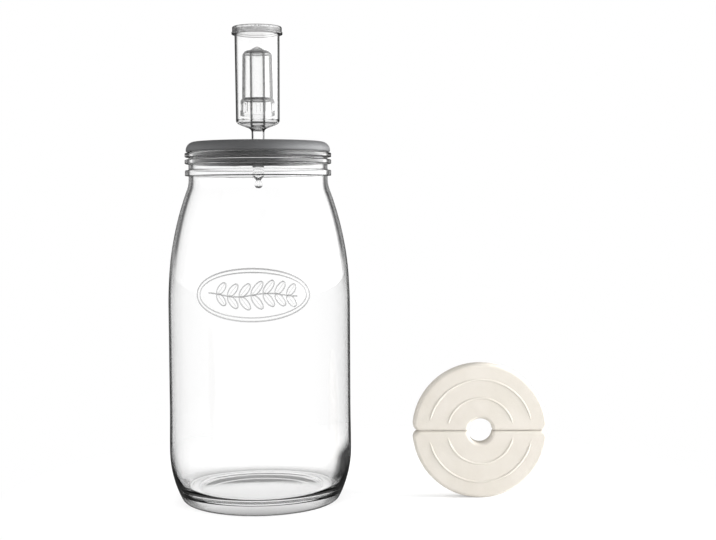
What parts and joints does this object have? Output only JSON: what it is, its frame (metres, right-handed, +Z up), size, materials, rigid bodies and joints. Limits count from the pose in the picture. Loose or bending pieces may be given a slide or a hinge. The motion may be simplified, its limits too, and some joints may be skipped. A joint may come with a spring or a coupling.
{
  "type": "fermentation jar",
  "caption": "Clear glass fermentation jar with a soft plug lid, a water airlock that bubbles, and a split ceramic weight beside it.",
  "frame": {"origin": "the jar's axis on the surface that it stands on", "axes": "+Z up along the jar's axis; +X from the jar to the weights; -Y is the front"},
  "size_m": [0.286, 0.1372, 0.3555],
  "materials": {
    "clear_glass": "clear polished glass",
    "grey_silicone": "satin silicone",
    "clear_plastic": "clear moulded plastic",
    "white_ceramic": "matte off-white glaze"
  },
  "bodies": {
    "jar": {"glass_jar": "clear_glass"},
    "lid": {"lid": "grey_silicone"},
    "airlock": {"airlock_body": "clear_plastic"},
    "bell": {"airlock_bell": "clear_plastic"},
    "cap": {"airlock_cap": "clear_plastic"},
    "lower_weight": {"weight_lower": "white_ceramic"},
    "upper_weight": {"weight_upper": "white_ceramic"}
  },
  "joints": [
    {"name": "lid_lift", "type": "slide", "parent": "jar", "child": "lid", "axis": [0, 0, 1], "range_m": [0, 0.06]},
    {"name": "airlock_pull", "type": "slide", "parent": "lid", "child": "airlock", "axis": [0, 0, 1], "range_m": [0, 0.05]},
    {"name": "bell_rise", "type": "slide", "parent": "airlock", "child": "bell", "axis": [0, 0, 1], "range_m": [0, 0.012]},
    {"name": "cap_lift", "type": "slide", "parent": "airlock", "child": "cap", "axis": [0, 0, 1], "range_m": [0, 0.03]},
    {"name": "lower_weight_lift", "type": "slide", "parent": "jar", "child": "lower_weight", "axis": [0, 0, 1], "range_m": [0, 0.06]},
    {"name": "upper_weight_lift", "type": "slide", "parent": "lower_weight", "child": "upper_weight", "axis": [0, 0, 1], "range_m": [0, 0.06]}
  ]
}
